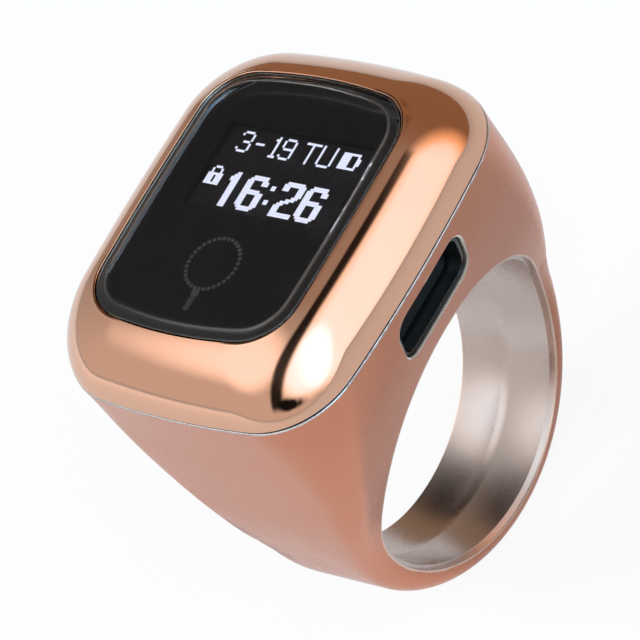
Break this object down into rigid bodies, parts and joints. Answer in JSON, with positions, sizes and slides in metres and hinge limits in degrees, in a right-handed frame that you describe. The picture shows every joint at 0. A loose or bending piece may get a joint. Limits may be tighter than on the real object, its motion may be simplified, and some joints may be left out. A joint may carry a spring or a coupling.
{
  "type": "digital tasbih counter",
  "caption": "Finger ring with a raised rectangular head holding a small lit display, a side push button and charging contacts inside the finger bore, for counting recitations.",
  "frame": {"origin": "centre of the finger bore", "axes": "+X along the finger, in the reading direction of the display and out of the button's side; +Y towards the top of the display; +Z out of the glass"},
  "size_m": [0.0232, 0.027, 0.0327],
  "materials": {
    "satin_rose_gold": "satin",
    "polished_rose_gold": "polished",
    "polished_steel": "polished",
    "cover_glass": "polished",
    "mask_ink": "matt black print",
    "black_tape": "matt",
    "panel_glass": "glossy black",
    "silicon": "glossy grey",
    "amber_flex": "translucent amber",
    "foam": "open-cell black",
    "frame_steel": "rolled",
    "cell_can": "satin",
    "nickel_strip": "rolled",
    "board_laminate": "solder mask",
    "chip_resin": "matt",
    "crystal_steel": "satin",
    "white_ceramic": "matt",
    "tan_ceramic": "matt",
    "connector_resin": "matt",
    "screw_steel": "machined",
    "surround_plastic": "glossy black",
    "key_plastic": "glossy black",
    "plunger_plastic": "matt white",
    "switch_plastic": "matt black",
    "motor_steel": "satin",
    "cap_plastic": "matt",
    "magnet": "nickel plated",
    "copper_coil": "enamelled copper",
    "shaft_steel": "ground",
    "heavy_alloy": "sintered",
    "saddle_rubber": "moulded",
    "gold_contact": "gold plated",
    "sleeve_plastic": "glossy black",
    "gasket_rubber": "moulded"
  },
  "bodies": {
    "case": {"ring_body": "satin_rose_gold", "bezel_cover": "polished_rose_gold", "finger_liner": "polished_steel", "glass_lens": "cover_glass", "lens_mask": "mask_ink", "lens_adhesive": "black_tape", "panel_tape": "black_tape", "oled_panel": "panel_glass", "display_driver": "silicon", "display_flex": "amber_flex", "foam_pad": "foam", "display_frame": "frame_steel", "frame_screws": "screw_steel", "battery_cell": "cell_can", "battery_leads": "nickel_strip", "circuit_board": "board_laminate", "processor_chip": "chip_resin", "power_chip": "chip_resin", "crystal_can": "crystal_steel", "chip_antenna": "white_ceramic", "passive_parts": "tan_ceramic", "flex_connector": "connector_resin", "board_screws": "screw_steel", "button_surround": "surround_plastic", "tact_switch": "switch_plastic", "motor_can": "motor_steel", "motor_cap": "cap_plastic", "motor_magnet": "magnet", "motor_saddle": "saddle_rubber", "charge_pins": "gold_contact", "pin_sleeves": "sleeve_plastic", "seam_gasket": "gasket_rubber"},
    "key": {"count_button": "key_plastic", "switch_plunger": "plunger_plastic"},
    "rotor": {"motor_shaft": "shaft_steel", "motor_coil": "copper_coil", "motor_weight": "heavy_alloy"}
  },
  "joints": [
    {"name": "count_press", "type": "slide", "parent": "case", "child": "key", "axis": [-1, 0, 0], "range_m": [0, 0.00025], "stiffness_N_per_m": 2000, "springref_m": -0.0001},
    {"name": "motor_spin", "type": "hinge", "parent": "case", "child": "rotor", "pos_m": [0, -0.00935, 0.01435], "axis": [1, 0, 0], "continuous": true}
  ]
}
